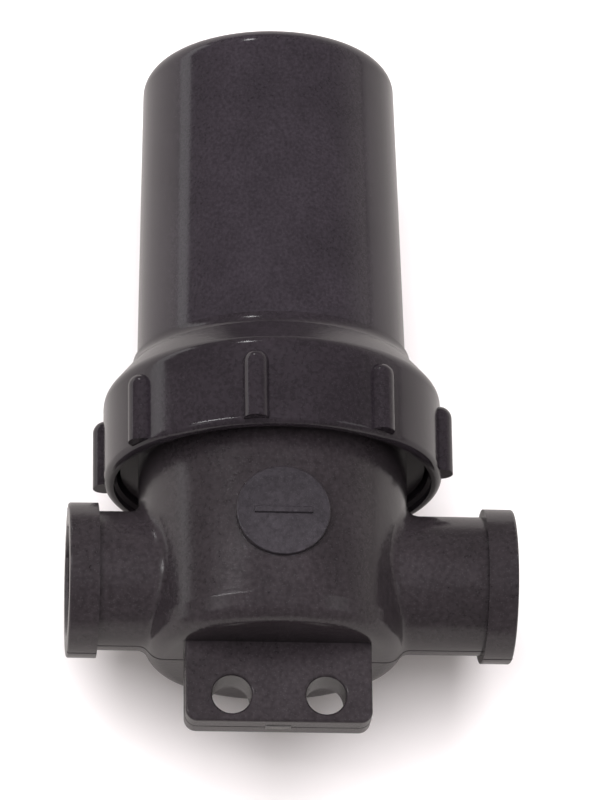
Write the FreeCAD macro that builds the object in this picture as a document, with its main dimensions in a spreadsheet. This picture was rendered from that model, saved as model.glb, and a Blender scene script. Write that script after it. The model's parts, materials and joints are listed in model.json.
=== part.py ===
import FreeCAD, Part
import Sketcher

import math
import os
from types import SimpleNamespace

# Sea water strainer: a moulded head with two threaded ports and a mounting lug, a
# closed bowl held down by a ribbed ring nut, and a gauze cartridge on a spigot inside.
#
# Lengths are in millimetres. Each sub-part is modelled about its own axis from its own
# lowest face, and its Placement puts it on the shared frame: the origin is midway between
# the two lug holes on the lug's back face, +Z points along the bowl to its closed end,
# and the ports lie along X.

SIZES = {
    # Head: the round body between the flat disc at its foot and the threaded neck.
    "body_top_radius": 33.2,
    "body_draft": 1.0,
    "body_height": 49.6,
    "body_wall": 4.6,
    "foot_height": 6.6,
    "foot_draft": 13.0,
    "foot_edge": 1.6,
    "foot_rounding": 4.6,
    "neck_rim_stand": 4.3,
    "neck_rim_height": 2.2,
    "neck_height": 12.4,
    "neck_thread_depth": 1.3,
    "chamber_rounding": 3.0,
    "floor_thickness": 4.0,
    # Ports, with a collar at each end and a G 3/4 thread inside.
    "port_height": 20.3,
    "inlet_stand": 17.4,
    "outlet_stand": 25.2,
    "barrel_radius": 17.0,
    "barrel_fillet": 3.0,
    "collar_radius": 19.0,
    "collar_length": 7.25,
    "collar_edge": 0.6,
    "thread_radius": 13.22,
    "thread_depth": 16.0,
    "thread_lead_in": 0.8,
    "inlet_bore_radius": 11.0,
    # Outlet duct inside the head, turning up into the spigot that carries the cartridge.
    "duct_bore_radius": 10.0,
    "duct_wall": 2.5,
    "spigot_bore_radius": 9.4,
    "seat_height": 36.0,
    "seat_width": 2.6,
    "spigot_height": 9.0,
    # Mounting lug.
    "lug_width": 45.2,
    "lug_thickness": 8.8,
    "lug_drop": 20.2,
    "lug_corner": 3.0,
    "lug_edge": 0.8,
    "lug_hole_radius": 4.8,
    "lug_hole_spacing": 22.8,
    "lug_hole_drop": 13.3,
    "lug_setback": 4.9,
    # Bare pad with one raised bar on the front of the body.
    "pad_radius": 11.3,
    "pad_height": 26.6,
    "pad_stand": 0.4,
    "pad_edge": 0.3,
    "bar_length": 14.0,
    "bar_width": 1.6,
    "bar_stand": 0.7,
    # Seal ring in the neck's top face.
    "groove_land": 1.4,
    "groove_width": 2.8,
    "groove_depth": 2.0,
    "seal_clearance": 0.1,
    "seal_edge": 0.7,
    # Bowl.
    "bowl_step": 0.4,
    "bowl_taper": 1.95,
    "bowl_length": 95.1,
    "bowl_wall": 3.2,
    "bowl_edge": 5.4,
    "flange_setback": 0.3,
    "flange_thickness": 4.5,
    # Ring nut.
    "nut_wall": 2.5,
    "nut_skirt": 20.1,
    "nut_overhang": 16.1,
    "nut_thread_gap": 0.9,
    "nut_mouth_step": 0.8,
    "nut_mouth_depth": 1.6,
    "nut_foot_edge": 1.9,
    "nut_edge_radius": 4.5,
    "cone_angle": 50.0,
    "cone_hollow": 5.0,
    "nut_land": 0.45,
    "nut_clearance": 0.35,
    "nut_recess": 0.5,
    "rib_count": 8,
    "rib_radius": 3.1,
    "rib_foot": 1.2,
    "rib_top": 18.9,
    "rib_stand": 2.9,
    "rib_turn": -9.5,
    # Cartridge: a moulded cage with a gauze sleeve inside it.
    "cage_radius": 21.5,
    "cage_wall": 2.2,
    "cage_foot_height": 9.0,
    "cage_cap_height": 3.0,
    "cage_gap": 0.5,
    "cage_hoops": 3,
    "cage_hoop_height": 2.0,
    "cage_ribs": 8,
    "cage_rib_width": 3.0,
    "cage_rib_setback": 0.3,
    "gauze_wall": 0.5,
    "gauze_clearance": 0.05,
    # Rubber sleeve between the cartridge's foot and the spigot.
    "sleeve_thickness": 1.6,
    "sleeve_height": 6.0,
    "sleeve_clearance": 0.05,
}

# A point counts as lying on a surface when it is within this distance of it, and an
# edge is tested at this many points.
TOLERANCE = 0.01
POINTS_TESTED = 7

document = FreeCAD.newDocument("SeaWaterStrainer")
sheet = document.addObject("Spreadsheet::Sheet", "Sizes")


class Size:
    """A number together with the sheet expression that gives it."""

    def __init__(self, value, text):
        self.value = value
        self.text = text

    def joined(self, other, sign, value):
        return Size(value, f"({self.text} {sign} {as_size(other).text})")

    def __add__(self, other):
        return self.joined(other, "+", self.value + as_size(other).value)

    def __sub__(self, other):
        return self.joined(other, "-", self.value - as_size(other).value)

    def __mul__(self, other):
        return self.joined(other, "*", self.value * as_size(other).value)

    def __truediv__(self, other):
        return self.joined(other, "/", self.value / as_size(other).value)

    def __neg__(self):
        return Size(-self.value, f"(-1 * {self.text})")


def as_size(number):
    if isinstance(number, Size):
        return number
    return Size(float(number), repr(float(number)))


def sine(angle):
    return Size(math.sin(math.radians(angle.value)), f"sin({angle.text} * 1 deg)")


def cosine(angle):
    return Size(math.cos(math.radians(angle.value)), f"cos({angle.text} * 1 deg)")


def tangent(angle):
    return Size(math.tan(math.radians(angle.value)), f"tan({angle.text} * 1 deg)")


size = SimpleNamespace()
for row, (alias, number) in enumerate(SIZES.items(), start=1):
    sheet.set(f"A{row}", alias)
    sheet.set(f"B{row}", str(number))
    sheet.setAlias(f"B{row}", alias)
    setattr(size, alias, Size(float(number), f"Sizes.{alias}"))
document.recompute()


# Sizes that follow from the ones above. Heights are above the head's disc.
size.disc_radius = size.body_top_radius - size.body_draft
size.chamber_radius = size.body_top_radius - size.body_wall
size.neck_rim_radius = size.body_top_radius + size.neck_rim_stand
size.thread_root_radius = size.neck_rim_radius - size.neck_thread_depth
size.inlet_reach = size.body_top_radius + size.inlet_stand
size.outlet_reach = size.body_top_radius + size.outlet_stand
size.bowl_radius = size.body_top_radius + size.bowl_step
size.bowl_end_radius = size.bowl_radius - size.bowl_taper
size.mouth_radius = size.bowl_radius - size.bowl_wall
size.flange_radius = size.neck_rim_radius - size.flange_setback
size.groove_radius = size.mouth_radius + size.groove_land
size.nut_bore_radius = size.neck_rim_radius + size.nut_thread_gap
size.nut_mouth_radius = size.nut_bore_radius + size.nut_mouth_step
size.nut_radius = size.nut_mouth_radius + size.nut_wall
seal_face = size.body_height + size.neck_height
spigot_radius = size.duct_bore_radius + size.duct_wall
spigot_top = size.seat_height + size.spigot_height
bowl_end_inside = seal_face + size.bowl_length - size.bowl_wall
cage_length = bowl_end_inside - size.cage_gap - size.seat_height
disc_height = size.lug_hole_drop


def new_body(label):
    body = document.addObject("PartDesign::Body", label)
    body.Label = label
    return body


def place(body, height):
    """Stand a sub-part on the bowl's axis, at a height above the head's disc."""
    body.setExpression("Placement.Base.y", size.lug_setback.text)
    body.setExpression("Placement.Base.z", (disc_height + height).text)


def origin_part(body, role):
    return [part for part in body.Origin.OriginFeatures if part.Role == role][0]


def new_sketch(body, plane, name, offset=(0, 0, 0), flipped=False):
    """A sketch on one of the body's origin planes, moved by an offset along the
    sketch's own axes; flipped turns it half round its upright axis."""
    sketch = body.newObject("Sketcher::SketchObject", name)
    sketch.AttachmentSupport = [(origin_part(body, plane), "")]
    sketch.MapMode = "FlatFace"
    turn = FreeCAD.Rotation(FreeCAD.Vector(0, 1, 0), 180 if flipped else 0)
    sketch.AttachmentOffset = FreeCAD.Placement(FreeCAD.Vector(0, 0, 0), turn)
    for axis, distance in zip("xyz", offset):
        sketch.setExpression(f"AttachmentOffset.Base.{axis}", as_size(distance).text)
    return sketch


def pin_point(sketch, edge, end, across, up):
    """Fix a point of the sketch at two sizes from the sketch's origin."""
    for kind, distance in (("DistanceX", across), ("DistanceY", up)):
        pin_one_way(sketch, edge, end, kind, distance)


def pin_one_way(sketch, edge, end, kind, distance):
    distance = as_size(distance)
    rule = Sketcher.Constraint(kind, -1, 1, edge, end, distance.value)
    index = sketch.addConstraint(rule)
    name = f"{kind}_{edge}_{end}"
    sketch.renameConstraint(index, name)
    sketch.setExpression(f"Constraints.{name}", distance.text)


def draw_outline(sketch, corners):
    """Draw a closed outline. A corner is (across, up), reached by a straight line, or
    (across, up, (centre across, centre up)), reached by an arc about that centre."""
    first_edge = sketch.GeometryCount
    ends = []
    for index, corner in enumerate(corners):
        start = vector_to(corners[index - 1])
        finish = vector_to(corner)
        if len(corner) == 2:
            sketch.addGeometry(Part.LineSegment(start, finish), False)
            ends.append((1, 2))
        else:
            centre = vector_to(corner[2])
            outward = ((start + finish) / 2 - centre).normalize()
            middle = centre + outward * (finish - centre).Length
            arc = Part.Arc(start, middle, finish)
            edge = sketch.addGeometry(arc, False)
            begins_here = (sketch.getPoint(edge, 1) - start).Length < TOLERANCE
            ends.append((1, 2) if begins_here else (2, 1))
    for index, corner in enumerate(corners):
        edge = first_edge + index
        following = (index + 1) % len(corners)
        join = Sketcher.Constraint(
            "Coincident", edge, ends[index][1], first_edge + following, ends[following][0]
        )
        sketch.addConstraint(join)
        pin_point(sketch, edge, ends[index][1], corner[0], corner[1])
        if len(corner) == 3:
            pin_one_way(sketch, edge, 3, "DistanceX", corner[2][0])


def vector_to(corner):
    return FreeCAD.Vector(as_size(corner[0]).value, as_size(corner[1]).value, 0)


def draw_circle(sketch, across, up, radius):
    centre = vector_to((across, up))
    circle = Part.Circle(centre, FreeCAD.Vector(0, 0, 1), radius.value)
    edge = sketch.addGeometry(circle, False)
    pin_point(sketch, edge, 3, across, up)
    index = sketch.addConstraint(Sketcher.Constraint("Radius", edge, radius.value))
    name = f"Radius_{edge}"
    sketch.renameConstraint(index, name)
    sketch.setExpression(f"Constraints.{name}", radius.text)


def turned(body, kind, name, sketch, axis="V_Axis", half=False):
    """A Revolution or Groove of a sketch about one of its axes, all the way round, or
    over the half turn that lies in front of the sketch."""
    feature = body.newObject(f"PartDesign::{kind}", name)
    feature.Profile = sketch
    feature.ReferenceAxis = (sketch, [axis])
    feature.Angle = 180 if half else 360
    feature.Reversed = half
    return feature


def padded(body, name, sketch, length):
    feature = body.newObject("PartDesign::Pad", name)
    feature.Profile = sketch
    feature.setExpression("Length", as_size(length).text)
    return feature


def repeated(body, name, feature, count):
    """Copies of a feature evenly spaced round the body's upright axis."""
    pattern = body.newObject("PartDesign::PolarPattern", name)
    pattern.Originals = [feature]
    pattern.Axis = (origin_part(body, "Z_Axis"), [""])
    pattern.Angle = 360
    pattern.setExpression("Occurrences", count.text)
    body.Tip = pattern


def rounded(body, name, radius, chooses):
    """A Fillet of the edges of the body's tip that a test picks out."""
    document.recompute()
    base = body.Tip
    edges = base.Shape.Edges
    names = [f"Edge{n}" for n, edge in enumerate(edges, start=1) if chooses(edge)]
    feature = body.newObject("PartDesign::Fillet", name)
    feature.Base = (base, names)
    feature.setExpression("Radius", radius.text)
    return feature


def points_along(edge):
    return edge.discretize(Number=POINTS_TESTED)


# ---------------------------------------------------------------- head
def build_head():
    """One moulding: body, neck, two ports, outlet duct with its spigot, and lug."""
    body = new_body("head")
    sketch = new_sketch(body, "YZ_Plane", "head_outside_sketch")
    edge = size.foot_edge
    draft = size.foot_draft
    rounding = size.foot_rounding
    band_radius = size.disc_radius - edge + edge * cosine(draft)
    band_top = size.foot_height - edge * sine(draft)
    band_foot = rounding - rounding * sine(draft)
    flat_radius = band_radius - (band_top - band_foot) * tangent(draft) - rounding * cosine(draft)
    rim_top = size.body_height + size.neck_rim_height
    lead = size.seal_edge
    draw_outline(sketch, [
        (0, 0),
        (flat_radius, 0),
        (flat_radius + rounding * cosine(draft), band_foot, (flat_radius, rounding)),
        (band_radius, band_top),
        (size.disc_radius, size.foot_height, (size.disc_radius - edge, size.foot_height)),
        (size.body_top_radius, size.body_height),
        (size.neck_rim_radius, size.body_height),
        (size.neck_rim_radius, rim_top),
        (size.thread_root_radius, rim_top),
        (size.thread_root_radius, seal_face - lead),
        (size.thread_root_radius - lead, seal_face),
        (0, seal_face),
    ])
    turned(body, "Revolution", "head_outside", sketch)
    build_port(body, "inlet", size.inlet_reach, True)
    build_port(body, "outlet", size.outlet_reach, False)
    round_barrels(body)
    build_front_pad(body)
    build_lug(body)
    hollow_head(body)
    build_duct(body)
    bore_ports(body)
    cut_seal_groove(body)
    place(body, as_size(0))
    return body


def build_port(body, name, reach, flipped):
    offset = (0, size.port_height, 0)
    sketch = new_sketch(body, "XZ_Plane", f"{name}_sketch", offset, flipped)
    collar_start = reach - size.collar_length
    edge = size.collar_edge
    draw_outline(sketch, [
        (0, 0),
        (reach, 0),
        (reach, size.collar_radius - edge),
        (reach - edge, size.collar_radius, (reach - edge, size.collar_radius - edge)),
        (collar_start, size.collar_radius),
        (collar_start, size.barrel_radius),
        (0, size.barrel_radius),
    ])
    turned(body, "Revolution", name, sketch, "H_Axis")


def round_barrels(body):
    """Round the corner where each barrel leaves the body."""
    farthest = size.neck_rim_radius.value
    barrel = size.barrel_radius.value
    axis_height = size.port_height.value

    def on_barrel_root(edge):
        for point in points_along(edge):
            from_axis = math.hypot(point.y, point.z - axis_height)
            if abs(from_axis - barrel) > TOLERANCE or abs(point.x) > farthest:
                return False
        return True

    rounded(body, "barrel_fillets", size.barrel_fillet, on_barrel_root)


def build_front_pad(body):
    """The round flat pad on the front of the body, with one raised bar across it."""
    face = size.body_top_radius + size.pad_stand
    sketch = new_sketch(body, "XZ_Plane", "front_pad_sketch")
    draw_circle(sketch, 0, size.pad_height, size.pad_radius)
    padded(body, "front_pad", sketch, face)
    sketch = new_sketch(body, "XZ_Plane", "front_bar_sketch")
    half_length = size.bar_length / 2
    half_width = size.bar_width / 2
    draw_outline(sketch, [
        (-half_length, size.pad_height - half_width),
        (half_length, size.pad_height - half_width),
        (half_length, size.pad_height + half_width),
        (-half_length, size.pad_height + half_width),
    ])
    padded(body, "front_bar", sketch, face + size.bar_stand)
    bar_face = -(face + size.bar_stand).value

    def on_pad_edge(edge):
        """The rim of the pad and the front edges of its bar."""
        depths = [point.y for point in points_along(edge)]
        flush = max(depths) - min(depths) < TOLERANCE
        on_bar = abs(depths[0] - bar_face) < TOLERANCE
        on_rim = abs(depths[0] + face.value) < TOLERANCE and edge.isClosed()
        return flush and (on_bar or on_rim)

    rounded(body, "pad_edges", size.pad_edge, on_pad_edge)


def build_lug(body):
    """The plate below the disc that bolts the strainer up."""
    sketch = new_sketch(body, "XZ_Plane", "lug_sketch", (0, 0, size.lug_setback))
    half = size.lug_width / 2
    inner = half - size.lug_corner
    turn = size.lug_corner - size.lug_drop
    root = size.floor_thickness / 2
    draw_outline(sketch, [
        (-half, root),
        (-half, turn),
        (-inner, -size.lug_drop, (-inner, turn)),
        (inner, -size.lug_drop),
        (half, turn, (inner, turn)),
        (half, root),
    ])
    spacing = size.lug_hole_spacing / 2
    for side in (-spacing, spacing):
        draw_circle(sketch, side, -size.lug_hole_drop, size.lug_hole_radius)
    padded(body, "lug", sketch, size.lug_thickness)

    back = -size.lug_setback.value - TOLERANCE
    highest = -size.lug_edge.value

    def on_lug_edge(edge):
        """The plate's outlines, front and back, and the holes' rims in front."""
        depths = [point.y for point in points_along(edge)]
        below = max(point.z for point in points_along(edge)) < highest
        upright = max(depths) - min(depths) < TOLERANCE
        back_rim = edge.isClosed() and max(depths) > back
        return below and upright and not back_rim

    rounded(body, "lug_edges", size.lug_edge, on_lug_edge)


def hollow_head(body):
    """The chamber inside the body, opening into the neck's mouth."""
    sketch = new_sketch(body, "YZ_Plane", "chamber_sketch")
    rounding = size.chamber_rounding
    shoulder = size.body_height - size.floor_thickness
    widening = size.mouth_radius - size.chamber_radius
    draw_outline(sketch, [
        (0, size.floor_thickness),
        (size.chamber_radius - rounding, size.floor_thickness),
        (
            size.chamber_radius,
            size.floor_thickness + rounding,
            (size.chamber_radius - rounding, size.floor_thickness + rounding),
        ),
        (size.chamber_radius, shoulder),
        (size.mouth_radius, shoulder + widening),
        (size.mouth_radius, seal_face),
        (0, seal_face),
    ])
    turned(body, "Groove", "chamber", sketch)


def build_duct(body):
    """The upright column under the cartridge and the duct from it to the outlet."""
    sketch = new_sketch(body, "YZ_Plane", "column_sketch")
    seat_radius = spigot_radius + size.seat_width
    root = size.floor_thickness / 2
    lead = size.seal_edge
    draw_outline(sketch, [
        (0, root),
        (seat_radius, root),
        (seat_radius, size.seat_height),
        (spigot_radius, size.seat_height),
        (spigot_radius, spigot_top - lead),
        (spigot_radius - lead, spigot_top),
        (0, spigot_top),
    ])
    turned(body, "Revolution", "column", sketch)
    sketch = new_sketch(body, "YZ_Plane", "duct_sketch")
    draw_circle(sketch, 0, size.port_height, spigot_radius)
    padded(body, "duct", sketch, (size.chamber_radius + size.disc_radius) / 2)


def bore_ports(body):
    """The threaded ports, the way in to the chamber and the way out of the spigot."""
    offset = (0, size.port_height, 0)
    chamber_side = (spigot_radius + size.seat_width + size.chamber_radius) / 2
    ways = (
        ("inlet_bore", size.inlet_reach, size.inlet_bore_radius, chamber_side, True),
        ("outlet_bore", size.outlet_reach, size.duct_bore_radius, as_size(0), False),
    )
    for name, reach, bore, start, flipped in ways:
        sketch = new_sketch(body, "XZ_Plane", f"{name}_sketch", offset, flipped)
        lead = size.thread_lead_in
        draw_outline(sketch, [
            (start, 0),
            (reach, 0),
            (reach, size.thread_radius + lead),
            (reach - lead, size.thread_radius),
            (reach - size.thread_depth, size.thread_radius),
            (reach - size.thread_depth, bore),
            (start, bore),
        ])
        turned(body, "Groove", name, sketch, "H_Axis")
    sketch = new_sketch(body, "YZ_Plane", "spigot_bore_sketch")
    bottom = size.port_height - size.spigot_bore_radius
    draw_outline(sketch, [
        (0, bottom),
        (size.spigot_bore_radius, bottom),
        (size.spigot_bore_radius, spigot_top),
        (0, spigot_top),
    ])
    turned(body, "Groove", "spigot_bore", sketch)


def cut_seal_groove(body):
    sketch = new_sketch(body, "YZ_Plane", "seal_groove_sketch")
    outside = size.groove_radius + size.groove_width
    bottom = seal_face - size.groove_depth
    draw_outline(sketch, [
        (size.groove_radius, bottom),
        (outside, bottom),
        (outside, seal_face),
        (size.groove_radius, seal_face),
    ])
    turned(body, "Groove", "seal_groove", sketch)


# ---------------------------------------------------------------- seals and bowl
def build_ring(label, inside, outside, thickness, edge, height):
    """A rubber ring with rounded corners."""
    body = new_body(label)
    sketch = new_sketch(body, "XZ_Plane", f"{label}_sketch")
    low = edge
    high = thickness - edge
    near = inside + edge
    far = outside - edge
    draw_outline(sketch, [
        (far, 0),
        (outside, low, (far, low)),
        (outside, high),
        (far, thickness, (far, high)),
        (near, thickness),
        (inside, high, (near, high)),
        (inside, low),
        (near, 0, (near, low)),
    ])
    turned(body, "Revolution", f"{label}_ring", sketch)
    place(body, height)
    return body


def build_bowl():
    """The closed bowl, with the flange at its mouth that the ring nut presses down."""
    body = new_body("bowl")
    sketch = new_sketch(body, "XZ_Plane", "bowl_sketch")
    edge = size.bowl_edge
    top = size.bowl_length
    inner_edge = edge - size.bowl_wall
    inner_end = size.bowl_end_radius - size.bowl_wall
    inner_top = top - size.bowl_wall
    corner = (size.bowl_end_radius - edge, top - edge)
    draw_outline(sketch, [
        (size.mouth_radius, 0),
        (size.flange_radius, 0),
        (size.flange_radius, size.flange_thickness),
        (size.bowl_radius, size.flange_thickness),
        (size.bowl_end_radius, top - edge),
        (size.bowl_end_radius - edge, top, corner),
        (0, top),
        (0, inner_top),
        (inner_end - inner_edge, inner_top),
        (inner_end, inner_top - inner_edge, corner),
    ])
    turned(body, "Revolution", "bowl_shell", sketch)
    place(body, seal_face)
    return body


# ---------------------------------------------------------------- ring nut
def build_ring_nut():
    """The ring nut: a skirt over the neck, a hollow cone above it and eight ribs."""
    body = new_body("ring_nut")
    sketch = new_sketch(body, "XZ_Plane", "nut_sketch")
    flat = as_size(90) - size.cone_angle
    edge = size.nut_edge_radius
    hollow = size.cone_hollow
    seat = size.nut_overhang + size.flange_thickness + size.seal_clearance
    bore = size.bowl_radius + size.nut_clearance
    land = bore + size.nut_land
    edge_centre = size.nut_radius - edge
    hollow_centre = land + hollow
    cone_foot = edge_centre + edge * cosine(flat)
    cone_head = hollow_centre - hollow * cosine(flat)
    cone_start = size.nut_skirt + edge * sine(flat)
    cone_end = cone_start + (cone_foot - cone_head) * tangent(size.cone_angle)
    top = cone_end + hollow * sine(flat)
    foot_edge = size.nut_foot_edge
    mouth_top = size.nut_mouth_depth + size.nut_mouth_radius - size.nut_bore_radius
    recess = size.flange_radius + size.nut_recess
    draw_outline(sketch, [
        (size.nut_mouth_radius, 0),
        (size.nut_radius - foot_edge, 0),
        (size.nut_radius, foot_edge, (size.nut_radius - foot_edge, foot_edge)),
        (size.nut_radius, size.nut_skirt),
        (cone_foot, cone_start, (edge_centre, size.nut_skirt)),
        (cone_head, cone_end),
        (land, top, (hollow_centre, top)),
        (bore, top),
        (bore, seat),
        (recess, seat),
        (recess, size.nut_overhang),
        (size.nut_bore_radius, size.nut_overhang - size.nut_recess),
        (size.nut_bore_radius, mouth_top),
        (size.nut_mouth_radius, size.nut_mouth_depth),
    ])
    turned(body, "Revolution", "nut_shell", sketch)
    build_nut_ribs(body)
    place(body, seal_face - size.nut_overhang)
    body.setExpression("Placement.Rotation.Angle", size.rib_turn.text)
    return body


def build_nut_ribs(body):
    """Half-round ribs up the skirt, each with a ball-shaped upper end."""
    middle = size.nut_radius + size.rib_stand - size.rib_radius
    sketch = new_sketch(body, "XZ_Plane", "rib_sketch", (0, 0, middle))
    shoulder = size.rib_top - size.rib_radius
    draw_outline(sketch, [
        (0, size.rib_foot),
        (size.rib_radius, size.rib_foot),
        (size.rib_radius, shoulder),
        (0, size.rib_top, (0, shoulder)),
    ])
    rib = turned(body, "Revolution", "rib", sketch, half=True)
    repeated(body, "ribs", rib, size.rib_count)


# ---------------------------------------------------------------- cartridge
def build_cage():
    """The cartridge's moulded cage: a foot ring, upright ribs, hoops and a cap."""
    body = new_body("cartridge_cage")
    foot_bore = spigot_radius + size.sleeve_clearance + size.sleeve_thickness
    lip_bore = spigot_radius + size.seal_clearance
    sketch = new_sketch(body, "XZ_Plane", "cage_foot_sketch")
    pocket_top = size.sleeve_height
    draw_outline(sketch, [
        (foot_bore, 0),
        (size.cage_radius, 0),
        (size.cage_radius, size.cage_foot_height),
        (lip_bore, size.cage_foot_height),
        (lip_bore, pocket_top),
        (foot_bore, pocket_top),
    ])
    turned(body, "Revolution", "cage_foot", sketch)
    inner = size.cage_radius - size.cage_wall
    build_cage_ribs(body, inner)
    build_hoops(body, inner)
    sketch = new_sketch(body, "XZ_Plane", "cage_cap_sketch")
    cap_foot = cage_length - size.cage_cap_height
    draw_outline(sketch, [
        (0, cap_foot),
        (size.cage_radius, cap_foot),
        (size.cage_radius, cage_length - size.seal_edge),
        (size.cage_radius - size.seal_edge, cage_length),
        (0, cage_length),
    ])
    turned(body, "Revolution", "cage_cap", sketch)
    place(body, size.seat_height)
    return body


def build_cage_ribs(body, inner):
    sketch = new_sketch(body, "XY_Plane", "cage_rib_sketch", (0, 0, size.cage_foot_height / 2))
    half = size.cage_rib_width / 2
    setback = size.cage_rib_setback
    draw_outline(sketch, [
        (inner + setback, -half),
        (size.cage_radius - setback, -half),
        (size.cage_radius - setback, half),
        (inner + setback, half),
    ])
    height = cage_length - (size.cage_foot_height + size.cage_cap_height) / 2
    rib = padded(body, "cage_rib", sketch, height)
    repeated(body, "cage_ribs_round", rib, size.cage_ribs)


def build_hoops(body, inner):
    """Hoops that tie the ribs together between the foot and the cap."""
    hoops = int(size.cage_hoops.value)
    clear = cage_length - size.cage_foot_height - size.cage_cap_height
    for index in range(hoops):
        middle = size.cage_foot_height + clear * (index + 1) / (hoops + 1)
        low = middle - size.cage_hoop_height / 2
        high = middle + size.cage_hoop_height / 2
        sketch = new_sketch(body, "XZ_Plane", f"hoop_{index}_sketch")
        draw_outline(sketch, [
            (inner, low),
            (size.cage_radius, low),
            (size.cage_radius, high),
            (inner, high),
        ])
        turned(body, "Revolution", f"hoop_{index}", sketch)


def build_gauze():
    """The gauze sleeve, moulded into the cage's foot and cap."""
    body = new_body("cartridge_gauze")
    outside = size.cage_radius - size.cage_wall - size.gauze_clearance
    inside = outside - size.gauze_wall
    low = size.cage_foot_height
    high = cage_length - size.cage_cap_height
    sketch = new_sketch(body, "XZ_Plane", "gauze_sketch")
    draw_outline(sketch, [
        (inside, low),
        (outside, low),
        (outside, high),
        (inside, high),
    ])
    turned(body, "Revolution", "gauze_sleeve", sketch)
    place(body, size.seat_height)
    return body


def build_bowl_seal():
    inside = size.groove_radius + size.seal_clearance
    outside = size.groove_radius + size.groove_width - size.seal_clearance
    height = seal_face - size.groove_depth
    return build_ring(
        "bowl_seal", inside, outside, size.groove_depth, size.seal_edge, height
    )


def build_spigot_sleeve():
    inside = spigot_radius + size.sleeve_clearance
    outside = inside + size.sleeve_thickness
    edge = size.sleeve_thickness / 4
    return build_ring(
        "cartridge_seal", inside, outside, size.sleeve_height, edge, size.seat_height
    )


def check_document():
    """Stop if any object failed to build or any sub-part isn't a sound solid."""
    for item in document.Objects:
        if {"Invalid", "Error"} & set(item.State):
            raise RuntimeError(f"{item.Label} failed: {item.State}")
    for body in sub_parts:
        shape = body.Shape
        if shape.isNull() or not shape.isValid() or len(shape.Solids) != 1:
            raise RuntimeError(f"{body.Label} isn't one sound solid")


sub_parts = [
    build_head(),
    build_bowl_seal(),
    build_bowl(),
    build_ring_nut(),
    build_cage(),
    build_gauze(),
    build_spigot_sleeve(),
]
document.recompute()
check_document()

os.makedirs("parts", exist_ok=True)
for body in sub_parts:
    body.Shape.exportStep(f"parts/{body.Label}.step")
    box = body.Shape.BoundBox
    print(
        f"{body.Label}: {body.Shape.Volume / 1000:.2f} cm3,"
        f" x {box.XMin:.1f}..{box.XMax:.1f},"
        f" y {box.YMin:.1f}..{box.YMax:.1f},"
        f" z {box.ZMin:.1f}..{box.ZMax:.1f}"
    )
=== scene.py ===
import json
import math

import bmesh
import bpy
from mathutils import Matrix, Vector


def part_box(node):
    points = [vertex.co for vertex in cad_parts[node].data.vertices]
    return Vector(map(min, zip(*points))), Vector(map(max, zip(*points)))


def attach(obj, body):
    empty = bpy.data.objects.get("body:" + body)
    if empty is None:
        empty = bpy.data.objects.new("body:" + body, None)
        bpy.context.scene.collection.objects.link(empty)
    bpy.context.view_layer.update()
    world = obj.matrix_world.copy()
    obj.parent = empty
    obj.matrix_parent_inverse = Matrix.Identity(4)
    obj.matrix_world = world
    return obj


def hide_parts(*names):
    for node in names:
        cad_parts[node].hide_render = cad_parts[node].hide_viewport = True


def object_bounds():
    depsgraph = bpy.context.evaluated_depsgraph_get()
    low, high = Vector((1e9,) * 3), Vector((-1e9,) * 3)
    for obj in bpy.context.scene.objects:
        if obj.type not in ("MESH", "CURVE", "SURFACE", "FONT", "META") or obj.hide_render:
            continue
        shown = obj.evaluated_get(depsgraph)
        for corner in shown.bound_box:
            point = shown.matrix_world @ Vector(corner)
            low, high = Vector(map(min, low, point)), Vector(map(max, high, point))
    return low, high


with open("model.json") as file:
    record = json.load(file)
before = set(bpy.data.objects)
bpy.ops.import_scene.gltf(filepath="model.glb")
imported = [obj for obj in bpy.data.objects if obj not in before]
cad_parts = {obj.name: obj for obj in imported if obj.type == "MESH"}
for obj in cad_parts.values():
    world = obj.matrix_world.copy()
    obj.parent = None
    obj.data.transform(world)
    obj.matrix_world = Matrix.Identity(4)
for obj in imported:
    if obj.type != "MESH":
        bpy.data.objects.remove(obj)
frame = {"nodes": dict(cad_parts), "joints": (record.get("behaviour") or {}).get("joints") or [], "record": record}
cad_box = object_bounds()

# ---------------------------------------------------------------- camera
# The strainer is seen a little from its inlet's side and well below its middle, so that
# the lug and the disc at the foot of the head face the lens and the bowl points away.
nut_joint = next(joint for joint in frame["joints"] if joint["name"] == "nut_turn")
bowl_axis = Vector(nut_joint["pos_m"])
aim_point = Vector((bowl_axis.x, bowl_axis.y, 0.0733))
aim_offset = Vector((0.0307, 0.0413))
camera_distance = 1.461
camera_side = math.radians(-4.48)
camera_rise = math.radians(-22.04)
camera_roll = math.radians(-0.64)
sensor_width = 36
lens_reach = 7.379


def place_camera():
    """A long lens, lens_reach sensor widths long, aimed a little off the aim point."""
    toward = Vector((
        math.sin(camera_side) * math.cos(camera_rise),
        -math.cos(camera_side) * math.cos(camera_rise),
        math.sin(camera_rise),
    ))
    level = (-toward).cross(Vector((0, 0, 1))).normalized()
    upright = level.cross(-toward)
    right = level * math.cos(camera_roll) + upright * math.sin(camera_roll)
    up = upright * math.cos(camera_roll) - level * math.sin(camera_roll)
    ahead = (-toward + (right * aim_offset.x + up * aim_offset.y) / lens_reach).normalized()
    right = (right - ahead * right.dot(ahead)).normalized()
    turn = Matrix((right, right.cross(ahead), -ahead)).transposed()
    camera = bpy.data.objects.new("camera", bpy.data.cameras.new("camera"))
    camera.matrix_world = Matrix.Translation(aim_point + toward * camera_distance) @ turn.to_4x4()
    camera.data.sensor_width = sensor_width
    camera.data.lens = sensor_width * lens_reach
    bpy.context.scene.collection.objects.link(camera)
    bpy.context.scene.camera = camera


place_camera()
bpy.context.scene.view_settings.view_transform = "Standard"

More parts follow.
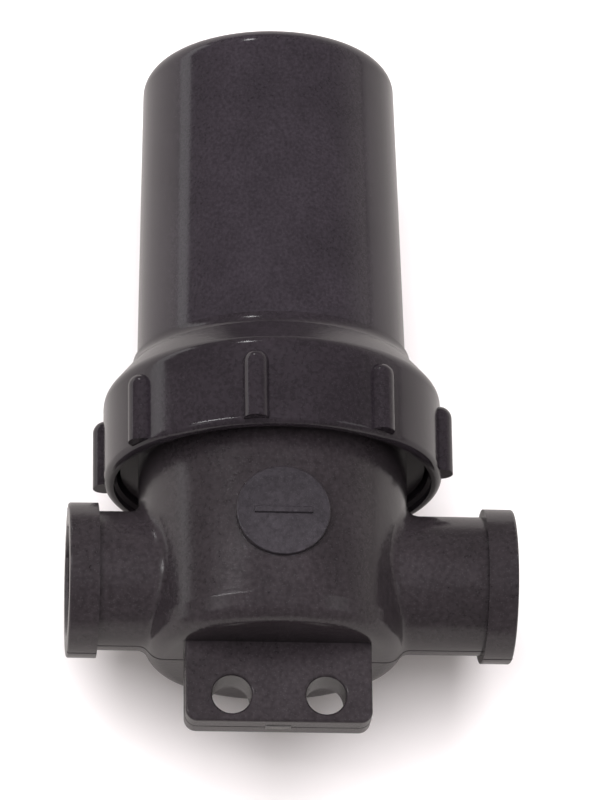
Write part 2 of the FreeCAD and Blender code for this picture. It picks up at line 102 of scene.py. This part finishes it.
# ---------------------------------------------------------------- stage and light
# Pale boards stand close behind the strainer and under its lug, with a broad lamp in
# front and a weaker one behind. The room is darkest in front, and a tall card, two low
# cards and two small lamps give the black plastic something to reflect.
plain_white = (1.0, 1.0, 1.0, 1)
room_colour = (1.0, 0.93, 0.89, 1)
room_light = (0.16, 0.62)
room_slope = Vector((0.45, 0.89, 0.1))
slope_reach = (-0.12, 0.55)
board_colour = (0.95, 0.9, 0.885, 1)
board_in_gloss = (0.43, 0.405, 0.385, 1)
board_glow = 0.02
floor_glow = 0.3
board_gap = 0.0005
board_half = 3.0
middle = (cad_box[0] + cad_box[1]) / 2


def remap(tree, value, entering=(0, 1), leaving=(0, 1)):
    """A node that turns one range of values into another."""
    node = tree.nodes.new("ShaderNodeMapRange")
    node.inputs["From Min"].default_value, node.inputs["From Max"].default_value = entering
    node.inputs["To Min"].default_value, node.inputs["To Max"].default_value = leaving
    tree.links.new(value, node.inputs["Value"])
    return node


def blend_colours(tree, share, first, second):
    """A colour that goes from first to second as share goes from 0 to 1."""
    blend = tree.nodes.new("ShaderNodeMix")
    blend.data_type = "RGBA"
    blend.inputs["A"].default_value = first
    blend.inputs["B"].default_value = second
    tree.links.new(share, blend.inputs["Factor"])
    return blend.outputs["Result"]


def light_world():
    """A room that shows as plain white and grows lighter along room_slope."""
    world = bpy.data.worlds.new("room")
    bpy.context.scene.world = world
    world.use_nodes = True
    tree = world.node_tree
    background = tree.nodes["Background"]
    place = tree.nodes.new("ShaderNodeTexCoord")
    along = tree.nodes.new("ShaderNodeVectorMath")
    along.operation = "DOT_PRODUCT"
    along.inputs[1].default_value = room_slope
    tree.links.new(place.outputs["Generated"], along.inputs[0])
    shade = remap(tree, along.outputs["Value"], entering=slope_reach, leaving=room_light)
    shade.interpolation_type = "SMOOTHSTEP"
    seen = tree.nodes.new("ShaderNodeLightPath").outputs["Is Camera Ray"]
    strength = remap(tree, seen)
    tree.links.new(shade.outputs["Result"], strength.inputs["To Min"])
    tree.links.new(strength.outputs["Result"], background.inputs["Strength"])
    tint = blend_colours(tree, seen, room_colour, plain_white)
    tree.links.new(tint, background.inputs["Color"])


def board_paint(name, glow):
    """Pale paint, darker in reflections and clear when seen from its back."""
    material = bpy.data.materials.new(name)
    material.use_nodes = True
    tree = material.node_tree
    tree.nodes.clear()
    paint = tree.nodes.new("ShaderNodeBsdfDiffuse")
    mirrored = tree.nodes.new("ShaderNodeLightPath").outputs["Is Glossy Ray"]
    colour = blend_colours(tree, mirrored, board_colour, board_in_gloss)
    tree.links.new(colour, paint.inputs["Color"])
    emission = tree.nodes.new("ShaderNodeEmission")
    emission.inputs["Color"].default_value = board_colour
    emission.inputs["Strength"].default_value = glow
    front = tree.nodes.new("ShaderNodeAddShader")
    tree.links.new(paint.outputs["BSDF"], front.inputs[0])
    tree.links.new(emission.outputs["Emission"], front.inputs[1])
    clear = tree.nodes.new("ShaderNodeBsdfTransparent")
    side = tree.nodes.new("ShaderNodeNewGeometry")
    sheet = tree.nodes.new("ShaderNodeMixShader")
    tree.links.new(side.outputs["Backfacing"], sheet.inputs["Fac"])
    tree.links.new(front.outputs["Shader"], sheet.inputs[1])
    tree.links.new(clear.outputs["BSDF"], sheet.inputs[2])
    output = tree.nodes.new("ShaderNodeOutputMaterial")
    tree.links.new(sheet.outputs["Shader"], output.inputs["Surface"])
    return material


def stage_board(name, centre, facing, material):
    """A wide flat sheet whose front looks along facing."""
    across = facing.orthogonal().normalized() * board_half
    upward = facing.cross(across)
    corners = [
        centre + across * a + upward * b for a, b in ((-1, -1), (1, -1), (1, 1), (-1, 1))
    ]
    mesh = bpy.data.meshes.new(name)
    mesh.from_pydata(corners, [], [(0, 1, 2, 3)])
    mesh.materials.append(material)
    board = bpy.data.objects.new(name, mesh)
    bpy.context.scene.collection.objects.link(board)
    board.visible_shadow = False
    return board


def lamp_at(name, place, size, power, in_gloss=False, colour=(1, 1, 1)):
    """A soft lamp that shines on the strainer's middle."""
    data = bpy.data.lights.new(name, "AREA")
    data.shape = "RECTANGLE"
    data.size, data.size_y = size
    data.energy = power
    data.color = colour
    lamp = bpy.data.objects.new(name, data)
    lamp.location = place
    lamp.rotation_euler = (middle - Vector(place)).to_track_quat("-Z", "Y").to_euler()
    lamp.visible_camera = False
    lamp.visible_glossy = in_gloss
    bpy.context.scene.collection.objects.link(lamp)


light_world()
board_place = Vector((0, cad_box[1].y + board_gap, middle.z))
stage_board("backdrop", board_place, Vector((0, -1, 0)), board_paint("backdrop_paint", board_glow))
floor_place = Vector((0, 0, cad_box[0].z - board_gap))
floor = stage_board("floor", floor_place, Vector((0, 0, 1)), board_paint("floor_paint", floor_glow))
floor.visible_glossy = False
floor.visible_diffuse = False
lamp_at(
    "broad_lamp", place=(-0.12, -1.5, 0.12), size=(1.55, 1.55), power=52,
    colour=(0.97, 0.97, 1.0),
)
lamp_at("back_lamp", place=(0.5, 1.6, 1.0), size=(1.4, 1.4), power=10)
lamp_at("left_card", place=(-1.29, 0.4, 0.7), size=(1.3, 2.0), power=8.8, in_gloss=True)
lamp_at("low_card_left", place=(-1.1, -0.86, -0.15), size=(0.45, 0.3), power=0.35, in_gloss=True)
lamp_at("low_card_right", place=(1.1, -0.9, -0.15), size=(0.45, 0.3), power=0.35, in_gloss=True)
lamp_at("edge_lamp", place=(-0.92, -1.02, 0.26), size=(0.62, 0.05), power=1.7, in_gloss=True)
lamp_at("spark_lamp", place=(-0.35, -0.75, 1.25), size=(0.12, 0.12), power=0.8, in_gloss=True)

# ---------------------------------------------------------------- head
# The head is one moulding of glass-filled plastic: body, neck, ports, collars and lug.
# Its skin has a fine grain, cloudy flow and pale fibre ends, and is rougher on the round
# pad. The bowl and the nut are of the same plastic, from better polished tools.
plastic_ior = 1.5
fibre_colour = (0.09, 0.085, 0.09, 1)
fibre_fineness = 1.7
fibre_edge = (0.24, 0.1)
noise_reach = (0.3, 0.7)
grain_detail = 3
grain_shades = (0.76, 1.26)
cloud_size = 55
cloud_detail = 4
cloud_shades = (0.82, 1.2)
cloud_gloss_reach = (0.35, 0.65)
body_side = 0.0318
pad_height = 0.0399
pad_radius = 0.0115
skin_sockets = (
    ("INPUT", "NodeSocketColor", ("Colour", "Fibre Colour")),
    ("INPUT", "NodeSocketFloat", ("Fibre Amount", "Grain Size", "Roughness Low", "Roughness High")),
    ("OUTPUT", "NodeSocketColor", ("Colour",)),
    ("OUTPUT", "NodeSocketFloat", ("Roughness", "Height")),
)


def reckon(tree, operation, first, second):
    """The sum or product of two values."""
    node = tree.nodes.new("ShaderNodeMath")
    node.operation = operation
    tree.links.new(first, node.inputs[0])
    tree.links.new(second, node.inputs[1])
    return node.outputs["Value"]


def build_moulded_skin():
    """Node group: colour, roughness and surface height of a moulded skin."""
    group = bpy.data.node_groups.new("moulded_skin", "ShaderNodeTree")
    for direction, kind, names in skin_sockets:
        for name in names:
            group.interface.new_socket(name=name, in_out=direction, socket_type=kind)
    nodes, links = group.nodes, group.links
    entry = nodes.new("NodeGroupInput")
    out = nodes.new("NodeGroupOutput")
    place = nodes.new("ShaderNodeTexCoord")

    grain = nodes.new("ShaderNodeTexNoise")
    grain.inputs["Detail"].default_value = grain_detail
    links.new(place.outputs["Object"], grain.inputs["Vector"])
    links.new(entry.outputs["Grain Size"], grain.inputs["Scale"])

    fibre_size = nodes.new("ShaderNodeMath")
    fibre_size.operation = "MULTIPLY"
    fibre_size.inputs[1].default_value = fibre_fineness
    links.new(entry.outputs["Grain Size"], fibre_size.inputs[0])
    fibres = nodes.new("ShaderNodeTexVoronoi")
    links.new(place.outputs["Object"], fibres.inputs["Vector"])
    links.new(fibre_size.outputs["Value"], fibres.inputs["Scale"])
    fibre_mask = remap(group, fibres.outputs["Distance"], entering=fibre_edge)
    fibre_share = reckon(
        group, "MULTIPLY", fibre_mask.outputs["Result"], entry.outputs["Fibre Amount"]
    )

    cloud = nodes.new("ShaderNodeTexNoise")
    cloud.inputs["Scale"].default_value = cloud_size
    cloud.inputs["Detail"].default_value = cloud_detail
    links.new(place.outputs["Object"], cloud.inputs["Vector"])
    shade = remap(group, cloud.outputs["Fac"], entering=noise_reach, leaving=cloud_shades)
    mottle = remap(group, grain.outputs["Fac"], entering=noise_reach, leaving=grain_shades)
    tone = reckon(group, "MULTIPLY", shade.outputs["Result"], mottle.outputs["Result"])
    tint = nodes.new("ShaderNodeVectorMath")
    tint.operation = "SCALE"
    links.new(entry.outputs["Colour"], tint.inputs[0])
    links.new(tone, tint.inputs["Scale"])
    colour = nodes.new("ShaderNodeMix")
    colour.data_type = "RGBA"
    links.new(fibre_share, colour.inputs["Factor"])
    links.new(tint.outputs["Vector"], colour.inputs["A"])
    links.new(entry.outputs["Fibre Colour"], colour.inputs["B"])
    links.new(colour.outputs["Result"], out.inputs["Colour"])

    rough = remap(group, cloud.outputs["Fac"], entering=cloud_gloss_reach)
    links.new(entry.outputs["Roughness Low"], rough.inputs["To Min"])
    links.new(entry.outputs["Roughness High"], rough.inputs["To Max"])
    links.new(rough.outputs["Result"], out.inputs["Roughness"])
    height = reckon(group, "ADD", grain.outputs["Fac"], fibre_share)
    links.new(height, out.inputs["Height"])
    return group


moulded_skin = build_moulded_skin()


def moulded_plastic(name, colour, roughness, fibre_amount, grain_size, grain_depth, specular=0.5):
    """A material of moulded plastic; roughness is its lowest and highest value."""
    material = bpy.data.materials.new(name)
    material.use_nodes = True
    nodes, links = material.node_tree.nodes, material.node_tree.links
    shader = nodes["Principled BSDF"]
    shader.inputs["IOR"].default_value = plastic_ior
    shader.inputs["Specular IOR Level"].default_value = specular
    skin = nodes.new("ShaderNodeGroup")
    skin.node_tree = moulded_skin
    skin.inputs["Colour"].default_value = (*colour, 1)
    skin.inputs["Fibre Colour"].default_value = fibre_colour
    skin.inputs["Fibre Amount"].default_value = fibre_amount
    skin.inputs["Grain Size"].default_value = grain_size
    skin.inputs["Roughness Low"].default_value = roughness[0]
    skin.inputs["Roughness High"].default_value = roughness[1]
    bump = nodes.new("ShaderNodeBump")
    bump.inputs["Distance"].default_value = grain_depth
    links.new(skin.outputs["Colour"], shader.inputs["Base Color"])
    links.new(skin.outputs["Roughness"], shader.inputs["Roughness"])
    links.new(skin.outputs["Height"], bump.inputs["Height"])
    links.new(bump.outputs["Normal"], shader.inputs["Normal"])
    return material


def give_skin(piece, material):
    """Give every face of a piece one material."""
    piece.data.materials.clear()
    piece.data.materials.append(material)


head = frame["nodes"]["head"]
head_plastic = moulded_plastic(
    "head_plastic", colour=(0.021, 0.017, 0.019), roughness=(0.17, 0.25),
    fibre_amount=0.22, grain_size=900, grain_depth=0.00004,
)
pad_plastic = moulded_plastic(
    "pad_plastic", colour=(0.0235, 0.02, 0.0235), roughness=(0.27, 0.38),
    fibre_amount=0.3, grain_size=1100, grain_depth=0.00005,
)
give_skin(head, head_plastic)
head.data.materials.append(pad_plastic)
pad_slot = len(head.data.materials) - 1
for face in head.data.polygons:
    on_front = face.center.y < bowl_axis.y - body_side
    if on_front and math.hypot(face.center.x, face.center.z - pad_height) < pad_radius:
        face.material_index = pad_slot

# ---------------------------------------------------------------- parting lines
# The head's tool parts on the plane through the bowl's axis and the ports, and at half
# the lug's thickness. Each leaves a fine bead of flash on the outside, and the gate
# where the plastic came in is cut off short at the middle of the lug's foot.
flash_stand = 0.00011
lug_line_stand = 0.00008
bead_roundness = 1
weld_gap = 1e-6
body_middle = Vector((bowl_axis.x, bowl_axis.y, 0.045))
foot_top = 0.0199
neck_start = 0.0629
end_face_turn = 0.95
lug_half_width = 0.0226
lug_thickness = 0.0088
lug_corner = 0.003
lug_top = 0.011
lug_foot = cad_box[0].z
lug_middle = -lug_thickness / 2
corner_steps = 6
gate_length = 0.0062
gate_width = 0.0016
gate_stand = 0.00025


def parted_edges(piece, place, facing):
    """The edges that a plane makes where it cuts a piece's skin."""
    cut = bmesh.new()
    cut.from_mesh(piece.data)
    bmesh.ops.remove_doubles(cut, verts=cut.verts, dist=weld_gap)
    everything = cut.verts[:] + cut.edges[:] + cut.faces[:]
    found = bmesh.ops.bisect_plane(cut, geom=everything, plane_co=place, plane_no=facing)
    return cut, [part for part in found["geom_cut"] if isinstance(part, bmesh.types.BMEdge)]


def on_outside(edge):
    """True on the body's sides and foot and on the ports, but not on their end faces."""
    point = (edge.verts[0].co + edge.verts[1].co) / 2
    outward = sum((face.normal for face in edge.link_faces), Vector()).normalized()
    shown = abs(point.x) > body_side or point.z < foot_top
    seen = outward.dot(point - body_middle) > 0
    return shown and seen and point.z < neck_start and abs(outward.x) < end_face_turn


def joined_runs(edges):
    """Runs of joined edges, each as its list of points."""
    beside = {}
    for edge in edges:
        first, last = edge.verts
        beside.setdefault(first, []).append(last)
        beside.setdefault(last, []).append(first)
    runs = []
    for start in [end for end in beside if len(beside[end]) == 1] + list(beside):
        run = [start]
        while beside[run[-1]]:
            following = beside[run[-1]].pop()
            beside[following].remove(run[-1])
            run.append(following)
        if len(run) > 1:
            runs.append([point.co.copy() for point in run])
    return runs


def flash_bead(name, runs, stand):
    """A round bead along each run of points, half sunk in the skin."""
    line = bpy.data.curves.new(name, "CURVE")
    line.dimensions = "3D"
    line.bevel_depth = stand
    line.bevel_resolution = bead_roundness
    for run in runs:
        spline = line.splines.new("POLY")
        spline.points.add(len(run) - 1)
        for spot, point in zip(spline.points, run):
            spot.co = (*point, 1)
    bead = bpy.data.objects.new(name, line)
    bpy.context.scene.collection.objects.link(bead)
    line.materials.append(head_plastic)
    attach(bead, "head")


cut, edges = parted_edges(head, bowl_axis, Vector((0, 1, 0)))
flash_bead("parting_bead", joined_runs([edge for edge in edges if on_outside(edge)]), flash_stand)
cut.free()

corner_turns = [math.pi / 2 * step / corner_steps for step in range(corner_steps + 1)]
lug_line = [Vector((-lug_half_width, lug_middle, lug_top))]
for side in (-1, 1):
    centre = Vector((side * (lug_half_width - lug_corner), lug_middle, lug_foot + lug_corner))
    swing = [
        centre + lug_corner * Vector((side * math.cos(turn), 0, -math.sin(turn)))
        for turn in corner_turns
    ]
    lug_line += swing if side < 0 else swing[::-1]
lug_line.append(Vector((lug_half_width, lug_middle, lug_top)))
flash_bead("lug_line", [lug_line], lug_line_stand)


def build_gate():
    """A low oblong stub with softened edges."""
    block = bmesh.new()
    bmesh.ops.create_cube(block, size=1)
    for corner in block.verts:
        corner.co.x *= gate_length
        corner.co.y *= gate_width
        corner.co.z *= 2 * gate_stand
    bmesh.ops.bevel(
        block, geom=block.edges[:], offset=gate_stand / 2, segments=3, affect="EDGES", profile=0.5
    )
    bmesh.ops.translate(block, verts=block.verts, vec=(0, lug_middle, lug_foot))
    mesh = bpy.data.meshes.new("lug_gate")
    block.to_mesh(mesh)
    block.free()
    mesh.shade_smooth()
    return mesh


gate = bpy.data.objects.new("lug_gate", build_gate())
bpy.context.scene.collection.objects.link(gate)
gate_plastic = moulded_plastic(
    "gate_plastic", colour=(0.13, 0.125, 0.12), roughness=(0.4, 0.6),
    fibre_amount=0.6, grain_size=2600, grain_depth=0.00012,
)
gate.data.materials.append(gate_plastic)
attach(gate, "head")

# ---------------------------------------------------------------- screw threads
# The threads are moulded in: a coarse one between the neck and the nut, which rises
# 4 mm a turn, and pipe threads in the ports. Every ridge dies away at both its ends.
# A ridge's widths, like its radii, are of its foot and its crest.
steps_a_turn = 72
fade_turns = 0.12
sharp_from = math.radians(30)
upright = Vector((0, 0, 1))
axis_foot = Vector((bowl_axis.x, bowl_axis.y, 0))
nut_pitch = 0.004
nut_ridge = (0.0026, 0.001)
neck_radii = (0.03615, 0.0375)
neck_span = (0.0665, 0.0739)
bore_radii = (0.03845, 0.03672)
bore_span = (0.0660, 0.0748)
pipe_pitch = 0.001814
pipe_ridge = (0.00168, 0.0003)
pipe_radii = (0.01327, 0.01206)
pipe_span = (0.0002, 0.0150)


def ridge_mesh(name, centre, along, span, pitch, radii, widths, first_turn=0):
    """A right-hand ridge wound about a line, from span's first height to its second."""
    side = along.orthogonal().normalized()
    other = along.cross(side)
    turns = (span[1] - span[0]) / pitch
    steps = round(turns * steps_a_turn)
    ridge = bmesh.new()
    rows = []
    for step in range(steps + 1):
        wound = turns * step / steps
        angle = math.tau * (wound + first_turn)
        outward = side * math.cos(angle) + other * math.sin(angle)
        height = span[0] + pitch * wound
        grown = min(1, wound / fade_turns, (turns - wound) / fade_turns)
        crest = radii[0] + (radii[1] - radii[0]) * grown
        corners = (
            (-widths[0], radii[0]), (-widths[1], crest), (widths[1], crest), (widths[0], radii[0]),
        )
        rows.append([
            ridge.verts.new(centre + along * (height + width / 2) + outward * radius)
            for width, radius in corners
        ])
    for row, following in zip(rows, rows[1:]):
        for near, far in ((0, 1), (1, 2), (2, 3), (3, 0)):
            ridge.faces.new((row[near], row[far], following[far], following[near]))
    ridge.faces.new(rows[0])
    ridge.faces.new(rows[-1][::-1])
    bmesh.ops.recalc_face_normals(ridge, faces=ridge.faces)
    mesh = bpy.data.meshes.new(name)
    ridge.to_mesh(mesh)
    ridge.free()
    mesh.shade_smooth()
    mesh.set_sharp_from_angle(angle=sharp_from)
    return mesh


def add_ridge(name, body, slot, material, *winding):
    """A ridge on one body; winding says what ridge_mesh asks for."""
    ridge = bpy.data.objects.new(name, ridge_mesh(name, *winding))
    bpy.context.scene.collection.objects.link(ridge)
    ridge.data.materials.append(material)
    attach(ridge, body)


add_ridge(
    "neck_thread", "head", "head_black", head_plastic,
    axis_foot, upright, neck_span, nut_pitch, neck_radii, nut_ridge,
)
mounts = {mount["name"]: mount for mount in frame["record"]["mounts"]}
for port in ("inlet", "outlet"):
    port_mouth = Vector(mounts[port]["pos_m"])
    inward = -Vector(mounts[port]["axis"])
    add_ridge(
        port + "_thread", "head", "head_black", head_plastic,
        port_mouth, inward, pipe_span, pipe_pitch, pipe_radii, pipe_ridge,
    )

# ---------------------------------------------------------------- ring nut
# The ring nut is one moulding with eight grip ribs, from a tool with a smoother skin.
# Its thread runs in the neck's, half a pitch away.
ring_nut = frame["nodes"]["ring_nut"]
nut_plastic = moulded_plastic(
    "nut_plastic", colour=(0.0165, 0.013, 0.016), roughness=(0.11, 0.17),
    fibre_amount=0.15, grain_size=1000, grain_depth=0.00002,
)
give_skin(ring_nut, nut_plastic)
half_pitch_turn = 0.5 + (bore_span[0] - neck_span[0]) / nut_pitch
add_ridge(
    "nut_thread", "ring_nut", "nut_black", nut_plastic,
    axis_foot, upright, bore_span, nut_pitch, bore_radii, nut_ridge, half_pitch_turn,
)

# ---------------------------------------------------------------- bowl
# The bowl is one closed moulding of the same plastic, held down at its flange by the
# ring nut. It comes from a polished tool, and has the glossiest skin.
bowl = frame["nodes"]["bowl"]
bowl_plastic = moulded_plastic(
    "bowl_plastic", colour=(0.021, 0.017, 0.021), roughness=(0.1, 0.15),
    fibre_amount=0.2, grain_size=1300, grain_depth=0.00001,
)
give_skin(bowl, bowl_plastic)

# ---------------------------------------------------------------- seals
# A nitrile ring in the neck's face seals the bowl, and a rubber sleeve in the foot of
# the cartridge grips the spigot.
rubber = moulded_plastic(
    "rubber", colour=(0.022, 0.022, 0.023), roughness=(0.5, 0.7),
    fibre_amount=0.1, grain_size=900, grain_depth=0.00004, specular=0.35,
)
for seal in ("bowl_seal", "cartridge_seal"):
    give_skin(frame["nodes"][seal], rubber)

# ---------------------------------------------------------------- cartridge
# The cartridge is an off-white moulded cage round a sleeve of stainless gauze. The
# gauze is a plain weave of hoops and upright wires, drawn and faintly browned where
# water dries on it.
cage_plastic = moulded_plastic(
    "cage_plastic", colour=(0.66, 0.65, 0.61), roughness=(0.35, 0.5),
    fibre_amount=0.1, grain_size=1300, grain_depth=0.00003,
)
give_skin(frame["nodes"]["cartridge_cage"], cage_plastic)

steel_colour = (0.56, 0.56, 0.55, 1)
bloom_colour = (0.47, 0.43, 0.38, 1)
bloom_reach = (0.4, 0.75)
bloom_size = 160
bloom_detail = 4
steel_roughness = (0.22, 0.5)
wire_radius = 0.00014
wire_sway = 0.00011
wires_round = 60
hoop_spacing = 0.002
gauze_low, gauze_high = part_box("cartridge_gauze")
gauze_radius = (gauze_high.x - gauze_low.x) / 2 - wire_radius - wire_sway


def lay_wire(weave, points, outwards, closed):
    """A square-edged wire along a run of points; outwards face away from the sleeve."""
    rings = []
    for index, (point, outward) in enumerate(zip(points, outwards)):
        before = points[index - 1] if index or closed else point
        after = points[(index + 1) % len(points)] if index + 1 < len(points) or closed else point
        across = (after - before).cross(outward).normalized()
        rings.append([
            weave.verts.new(point + (outward * up + across * over) * wire_radius)
            for up, over in ((1, 0), (0, 1), (-1, 0), (0, -1))
        ])
    follows = rings[1:] + rings[:1] if closed else rings[1:]
    for ring, following in zip(rings, follows):
        for corner in range(4):
            beyond = (corner + 1) % 4
            weave.faces.new((ring[corner], ring[beyond], following[beyond], following[corner]))


def build_gauze():
    """Hoops and upright wires that pass over and under each other."""
    weave = bmesh.new()
    height = gauze_high.z - gauze_low.z - 2 * wire_radius
    foot = Vector((bowl_axis.x, bowl_axis.y, gauze_low.z + wire_radius))
    hoops = round(height / hoop_spacing)
    turns = [math.tau * step / (2 * wires_round) for step in range(2 * wires_round)]
    facings = [Vector((math.cos(turn), math.sin(turn), 0)) for turn in turns]
    for hoop in range(hoops + 1):
        lift = Vector((0, 0, height * hoop / hoops))
        run = []
        for step, facing in enumerate(facings):
            sway = (0 if step % 2 else (-1) ** (step // 2 + hoop)) * wire_sway
            run.append(foot + lift + facing * (gauze_radius + sway))
        lay_wire(weave, run, facings, True)
    for wire in range(wires_round):
        facing = facings[2 * wire]
        run = []
        for step in range(2 * hoops + 1):
            lift = Vector((0, 0, height * step / (2 * hoops)))
            sway = (0 if step % 2 else -((-1) ** (wire + step // 2))) * wire_sway
            run.append(foot + lift + facing * (gauze_radius + sway))
        lay_wire(weave, run, [facing] * len(run), False)
    bmesh.ops.recalc_face_normals(weave, faces=weave.faces)
    mesh = bpy.data.meshes.new("gauze_weave")
    weave.to_mesh(mesh)
    weave.free()
    mesh.shade_smooth()
    return mesh


def gauze_steel():
    """Drawn stainless wire, with a faint brown bloom where water dries."""
    material = bpy.data.materials.new("gauze_steel")
    material.use_nodes = True
    tree = material.node_tree
    shader = tree.nodes["Principled BSDF"]
    shader.inputs["Metallic"].default_value = 1.0
    place = tree.nodes.new("ShaderNodeTexCoord")
    bloom = tree.nodes.new("ShaderNodeTexNoise")
    bloom.inputs["Scale"].default_value = bloom_size
    bloom.inputs["Detail"].default_value = bloom_detail
    tree.links.new(place.outputs["Object"], bloom.inputs["Vector"])
    colour = tree.nodes.new("ShaderNodeValToRGB")
    stops = colour.color_ramp.elements
    for stop, position, shade in zip(stops, bloom_reach, (steel_colour, bloom_colour)):
        stop.position = position
        stop.color = shade
    tree.links.new(bloom.outputs["Fac"], colour.inputs["Fac"])
    tree.links.new(colour.outputs["Color"], shader.inputs["Base Color"])
    rough = remap(tree, bloom.outputs["Fac"], leaving=steel_roughness)
    tree.links.new(rough.outputs["Result"], shader.inputs["Roughness"])
    return material


steel = gauze_steel()
give_skin(frame["nodes"]["cartridge_gauze"], steel)
gauze = bpy.data.objects.new("gauze_weave", build_gauze())
bpy.context.scene.collection.objects.link(gauze)
gauze.data.materials.append(steel)
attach(gauze, "cartridge")
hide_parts("cartridge_gauze")
